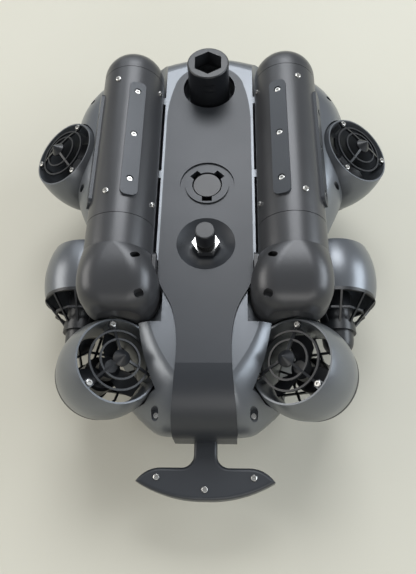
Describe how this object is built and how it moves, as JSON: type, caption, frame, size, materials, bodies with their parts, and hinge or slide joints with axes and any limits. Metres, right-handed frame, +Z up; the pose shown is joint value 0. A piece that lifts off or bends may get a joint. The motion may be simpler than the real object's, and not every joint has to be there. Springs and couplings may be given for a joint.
{
  "type": "underwater inspection rov",
  "caption": "Compact underwater inspection vehicle lying belly up, with tilted ducted thrusters, twin slide-in batteries and a T-shaped tail handle.",
  "frame": {"origin": "middle of the length and width, on the plane that the flat crown rests on", "axes": "+X to the right of the picture, +Y toward the nose, +Z up on the belly side"},
  "size_m": [0.346, 0.4376, 0.1697],
  "materials": {
    "hull_satin": "satin",
    "spine_satin": "satin",
    "dark_plastic": "satin",
    "rail_plastic": "satin",
    "screw_steel": "satin",
    "fitting_steel": "satin",
    "white_plastic": "satin",
    "clear_glass": "satin",
    "tube_aluminium": "satin",
    "board": "satin",
    "cell_wrap": "satin",
    "black_plastic": "satin"
  },
  "bodies": {
    "hull": {"battery_dock_left": "dark_plastic", "battery_dock_right": "dark_plastic", "belly_shell": "hull_satin", "camera_module": "black_plastic", "camera_window": "clear_glass", "circuit_board": "board", "connector_insert": "white_plastic", "connector_sleeve": "black_plastic", "electronics_tube": "tube_aluminium", "grille_front_left": "black_plastic", "grille_front_right": "black_plastic", "grille_middle_left": "black_plastic", "grille_middle_right": "black_plastic", "grille_rear_left": "black_plastic", "grille_rear_right": "black_plastic", "grille_screws": "screw_steel", "hull_screws": "screw_steel", "nose_lamps": "clear_glass", "rear_guard_front_left": "black_plastic", "rear_guard_front_right": "black_plastic", "rear_guard_middle_left": "black_plastic", "rear_guard_middle_right": "black_plastic", "rear_guard_rear_left": "black_plastic", "rear_guard_rear_right": "black_plastic", "shroud_front_left": "hull_satin", "shroud_front_right": "hull_satin", "shroud_middle_left": "hull_satin", "shroud_middle_right": "hull_satin", "shroud_rear_left": "hull_satin", "shroud_rear_right": "hull_satin", "spine_plate": "spine_satin", "top_shell": "hull_satin", "vent_fitting": "fitting_steel"},
    "battery_left": {"battery_case_left": "dark_plastic", "battery_cells_left": "cell_wrap", "battery_end_caps_left": "dark_plastic", "battery_rails_left": "rail_plastic", "battery_screws_left": "screw_steel"},
    "latch_left": {"battery_latch_left": "black_plastic"},
    "propeller_front_left": {"propeller_front_left": "black_plastic", "motor_rotor_front_left": "tube_aluminium"},
    "propeller_middle_left": {"propeller_middle_left": "black_plastic", "motor_rotor_middle_left": "tube_aluminium"},
    "propeller_rear_left": {"propeller_rear_left": "black_plastic", "motor_rotor_rear_left": "tube_aluminium"},
    "battery_right": {"battery_case_right": "dark_plastic", "battery_cells_right": "cell_wrap", "battery_end_caps_right": "dark_plastic", "battery_rails_right": "rail_plastic", "battery_screws_right": "screw_steel"},
    "latch_right": {"battery_latch_right": "black_plastic"},
    "propeller_front_right": {"propeller_front_right": "black_plastic", "motor_rotor_front_right": "tube_aluminium"},
    "propeller_middle_right": {"propeller_middle_right": "black_plastic", "motor_rotor_middle_right": "tube_aluminium"},
    "propeller_rear_right": {"propeller_rear_right": "black_plastic", "motor_rotor_rear_right": "tube_aluminium"},
    "plug": {"bayonet_plug": "black_plastic"},
    "cap": {"vent_cap": "black_plastic"}
  },
  "joints": [
    {"name": "spin_front_left", "type": "hinge", "parent": "hull", "child": "propeller_front_left", "pos_m": [-0.1428, 0.0959, 0.1137], "axis": [-0.5, 0, 0.866], "continuous": true},
    {"name": "spin_middle_left", "type": "hinge", "parent": "hull", "child": "propeller_middle_left", "pos_m": [-0.1192, 0.0093, 0.06], "axis": [0, 1, 0], "continuous": true},
    {"name": "spin_rear_left", "type": "hinge", "parent": "hull", "child": "propeller_rear_left", "pos_m": [-0.0675, -0.1204, 0.1275], "axis": [0.5015, 0, 0.8652], "continuous": true},
    {"name": "slide_battery_left", "type": "slide", "parent": "hull", "child": "battery_left", "axis": [0, 1, 0], "range_m": [0, 0.02]},
    {"name": "turn_latch_left", "type": "hinge", "parent": "hull", "child": "latch_left", "pos_m": [-0.0433, -0.044, 0.142], "axis": [1, 0, 0], "range_deg": [0, 90]},
    {"name": "spin_front_right", "type": "hinge", "parent": "hull", "child": "propeller_front_right", "pos_m": [0.1428, 0.0959, 0.1137], "axis": [0.5, 0, 0.866], "continuous": true},
    {"name": "spin_middle_right", "type": "hinge", "parent": "hull", "child": "propeller_middle_right", "pos_m": [0.1192, 0.0093, 0.06], "axis": [0, 1, 0], "continuous": true},
    {"name": "spin_rear_right", "type": "hinge", "parent": "hull", "child": "propeller_rear_right", "pos_m": [0.0675, -0.1204, 0.1275], "axis": [-0.5015, 0, 0.8652], "continuous": true},
    {"name": "slide_battery_right", "type": "slide", "parent": "hull", "child": "battery_right", "axis": [0, 1, 0], "range_m": [0, 0.02]},
    {"name": "turn_latch_right", "type": "hinge", "parent": "hull", "child": "latch_right", "pos_m": [0.0433, -0.044, 0.142], "axis": [1, 0, 0], "range_deg": [0, 90]},
    {"name": "twist_plug", "type": "hinge", "parent": "hull", "child": "plug", "pos_m": [0, 0.043, 0.13], "axis": [0, 0, 1], "range_deg": [-50, 0]},
    {"name": "unscrew_cap", "type": "hinge", "parent": "hull", "child": "cap", "pos_m": [0, -0.0177, 0.145], "axis": [0, 0, 1], "range_deg": [0, 360]}
  ]
}
